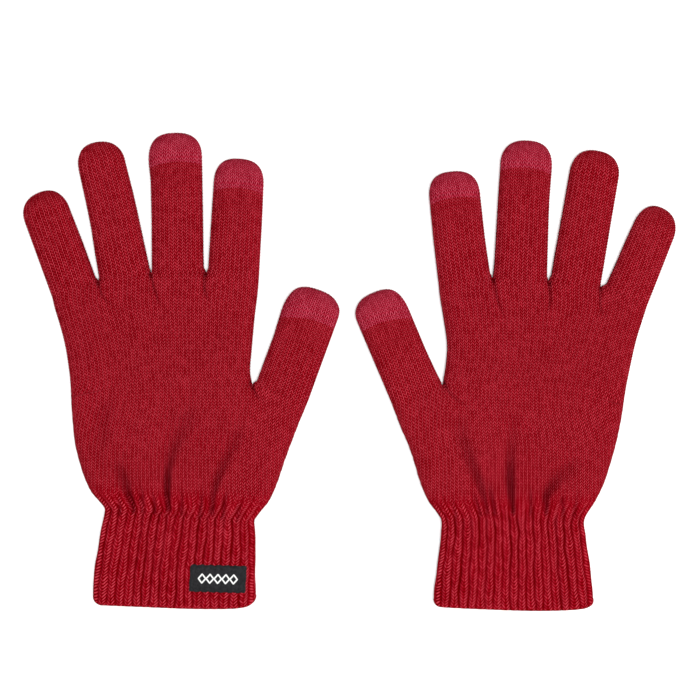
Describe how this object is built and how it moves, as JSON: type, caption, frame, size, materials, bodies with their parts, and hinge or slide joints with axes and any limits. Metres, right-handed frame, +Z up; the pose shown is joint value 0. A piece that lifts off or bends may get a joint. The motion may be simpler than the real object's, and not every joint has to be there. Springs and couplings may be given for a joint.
{
  "type": "touchscreen gloves",
  "caption": "Pair of red seamless knit gloves lying flat, with ribbed elastic cuffs, paler conductive tips on the thumb, index and middle stalls, and a small woven label on one cuff.",
  "frame": {"origin": "middle of the pair's footprint on the surface it lies on", "axes": "+Z up from the surface, +Y to the fingertips, +X from the left glove to the right glove"},
  "size_m": [0.3074, 0.2246, 0.0097],
  "materials": {
    "knit_red": "fine plain knit of acrylic yarn, matt and slightly fuzzy",
    "rib_red": "single-wale rib knit, matt",
    "knit_touch": "plain knit with conductive yarn, paler and slightly grey",
    "label_black": "dense woven label with a satin face",
    "thread": "matt sewing thread",
    "elastic": "covered elastic yarn"
  },
  "bodies": {
    "left_hand": {"left_hand_shell": "knit_red"},
    "left_little_lower": {"left_little_base": "knit_red"},
    "left_little_upper": {"left_little_end": "knit_red"},
    "left_ring_lower": {"left_ring_base": "knit_red"},
    "left_ring_upper": {"left_ring_end": "knit_red"},
    "left_middle_lower": {"left_middle_base": "knit_red"},
    "left_middle_upper": {"left_middle_end": "knit_red", "left_middle_touch_tip": "knit_touch"},
    "left_index_lower": {"left_index_base": "knit_red"},
    "left_index_upper": {"left_index_end": "knit_red", "left_index_touch_tip": "knit_touch"},
    "left_thumb_lower": {"left_thumb_base": "knit_red"},
    "left_thumb_upper": {"left_thumb_end": "knit_red", "left_thumb_touch_tip": "knit_touch"},
    "left_cuff": {"left_cuff_rib": "rib_red", "left_cuff_welt": "rib_red", "left_cuff_elastic": "elastic", "left_cuff_label": "label_black", "left_label_stitching": "thread"},
    "right_hand": {"right_hand_shell": "knit_red"},
    "right_little_lower": {"right_little_base": "knit_red"},
    "right_little_upper": {"right_little_end": "knit_red"},
    "right_ring_lower": {"right_ring_base": "knit_red"},
    "right_ring_upper": {"right_ring_end": "knit_red"},
    "right_middle_lower": {"right_middle_base": "knit_red"},
    "right_middle_upper": {"right_middle_end": "knit_red", "right_middle_touch_tip": "knit_touch"},
    "right_index_lower": {"right_index_base": "knit_red"},
    "right_index_upper": {"right_index_end": "knit_red", "right_index_touch_tip": "knit_touch"},
    "right_thumb_lower": {"right_thumb_base": "knit_red"},
    "right_thumb_upper": {"right_thumb_end": "knit_red", "right_thumb_touch_tip": "knit_touch"},
    "right_cuff": {"right_cuff_rib": "rib_red", "right_cuff_welt": "rib_red", "right_cuff_elastic": "elastic"}
  },
  "joints": [
    {"name": "left_little_knuckle", "type": "hinge", "parent": "left_hand", "child": "left_little_lower", "pos_m": [-0.13184, 0.04554, 0.009], "axis": [0.9379, 0.3469, 0], "range_deg": [0, 90]},
    {"name": "left_little_middle_bend", "type": "hinge", "parent": "left_little_lower", "child": "left_little_upper", "pos_m": [-0.13756, 0.06101, 0.009], "axis": [0.9379, 0.3469, 0], "range_deg": [0, 90]},
    {"name": "left_ring_knuckle", "type": "hinge", "parent": "left_hand", "child": "left_ring_lower", "pos_m": [-0.10707, 0.05187, 0.009], "axis": [0.9796, 0.2011, 0], "range_deg": [0, 90]},
    {"name": "left_ring_middle_bend", "type": "hinge", "parent": "left_ring_lower", "child": "left_ring_upper", "pos_m": [-0.1125, 0.07832, 0.009], "axis": [0.9796, 0.2011, 0], "range_deg": [0, 90]},
    {"name": "left_middle_knuckle", "type": "hinge", "parent": "left_hand", "child": "left_middle_lower", "pos_m": [-0.0809, 0.05393, 0.009], "axis": [0.9998, 0.0175, 0], "range_deg": [0, 90]},
    {"name": "left_middle_middle_bend", "type": "hinge", "parent": "left_middle_lower", "child": "left_middle_upper", "pos_m": [-0.08155, 0.09143, 0.009], "axis": [0.9998, 0.0175, 0], "range_deg": [0, 90]},
    {"name": "left_index_knuckle", "type": "hinge", "parent": "left_hand", "child": "left_index_lower", "pos_m": [-0.05409, 0.05312, 0.009], "axis": [0.9982, -0.0593, 0], "range_deg": [0, 90]},
    {"name": "left_index_middle_bend", "type": "hinge", "parent": "left_index_lower", "child": "left_index_upper", "pos_m": [-0.05248, 0.08007, 0.009], "axis": [0.9982, -0.0593, 0], "range_deg": [0, 90]},
    {"name": "left_thumb_knuckle", "type": "hinge", "parent": "left_hand", "child": "left_thumb_lower", "pos_m": [-0.02948, -0.00353, 0.009], "axis": [0.9421, -0.3355, 0], "range_deg": [0, 60]},
    {"name": "left_thumb_middle_bend", "type": "hinge", "parent": "left_thumb_lower", "child": "left_thumb_upper", "pos_m": [-0.02176, 0.01814, 0.009], "axis": [0.9421, -0.3355, 0], "range_deg": [0, 80]},
    {"name": "left_cuff_turn_up", "type": "hinge", "parent": "left_hand", "child": "left_cuff", "pos_m": [-0.07966, -0.06667, 0.009], "axis": [-1, 0, 0], "range_deg": [0, 170]},
    {"name": "right_little_knuckle", "type": "hinge", "parent": "right_hand", "child": "right_little_lower", "pos_m": [0.13239, 0.04213, 0.009], "axis": [0.9245, -0.3811, 0], "range_deg": [0, 90]},
    {"name": "right_little_middle_bend", "type": "hinge", "parent": "right_little_lower", "child": "right_little_upper", "pos_m": [0.13868, 0.05738, 0.009], "axis": [0.9245, -0.3811, 0], "range_deg": [0, 90]},
    {"name": "right_ring_knuckle", "type": "hinge", "parent": "right_hand", "child": "right_ring_lower", "pos_m": [0.10744, 0.04861, 0.009], "axis": [0.9845, -0.1754, 0], "range_deg": [0, 90]},
    {"name": "right_ring_middle_bend", "type": "hinge", "parent": "right_ring_lower", "child": "right_ring_upper", "pos_m": [0.11218, 0.07519, 0.009], "axis": [0.9845, -0.1754, 0], "range_deg": [0, 90]},
    {"name": "right_middle_knuckle", "type": "hinge", "parent": "right_hand", "child": "right_middle_lower", "pos_m": [0.08046, 0.05082, 0.009], "axis": [0.9986, -0.0523, 0], "range_deg": [0, 90]},
    {"name": "right_middle_middle_bend", "type": "hinge", "parent": "right_middle_lower", "child": "right_middle_upper", "pos_m": [0.08242, 0.08827, 0.009], "axis": [0.9986, -0.0523, 0], "range_deg": [0, 90]},
    {"name": "right_index_knuckle", "type": "hinge", "parent": "right_hand", "child": "right_index_lower", "pos_m": [0.05308, 0.05009, 0.009], "axis": [0.9942, 0.108, 0], "range_deg": [0, 90]},
    {"name": "right_index_middle_bend", "type": "hinge", "parent": "right_index_lower", "child": "right_index_upper", "pos_m": [0.05027, 0.07593, 0.009], "axis": [0.9942, 0.108, 0], "range_deg": [0, 90]},
    {"name": "right_thumb_knuckle", "type": "hinge", "parent": "right_hand", "child": "right_thumb_lower", "pos_m": [0.02865, -0.00429, 0.009], "axis": [0.9225, 0.3859, 0], "range_deg": [0, 60]},
    {"name": "right_thumb_middle_bend", "type": "hinge", "parent": "right_thumb_lower", "child": "right_thumb_upper", "pos_m": [0.01978, 0.01693, 0.009], "axis": [0.9225, 0.3859, 0], "range_deg": [0, 80]},
    {"name": "right_cuff_turn_up", "type": "hinge", "parent": "right_hand", "child": "right_cuff", "pos_m": [0.07679, -0.06967, 0.009], "axis": [-1, 0, 0], "range_deg": [0, 170]},
    {"name": "right_glove_lift", "type": "slide", "parent": "left_hand", "child": "right_hand", "axis": [0, 0, 1], "range_m": [0, 0.1]}
  ]
}
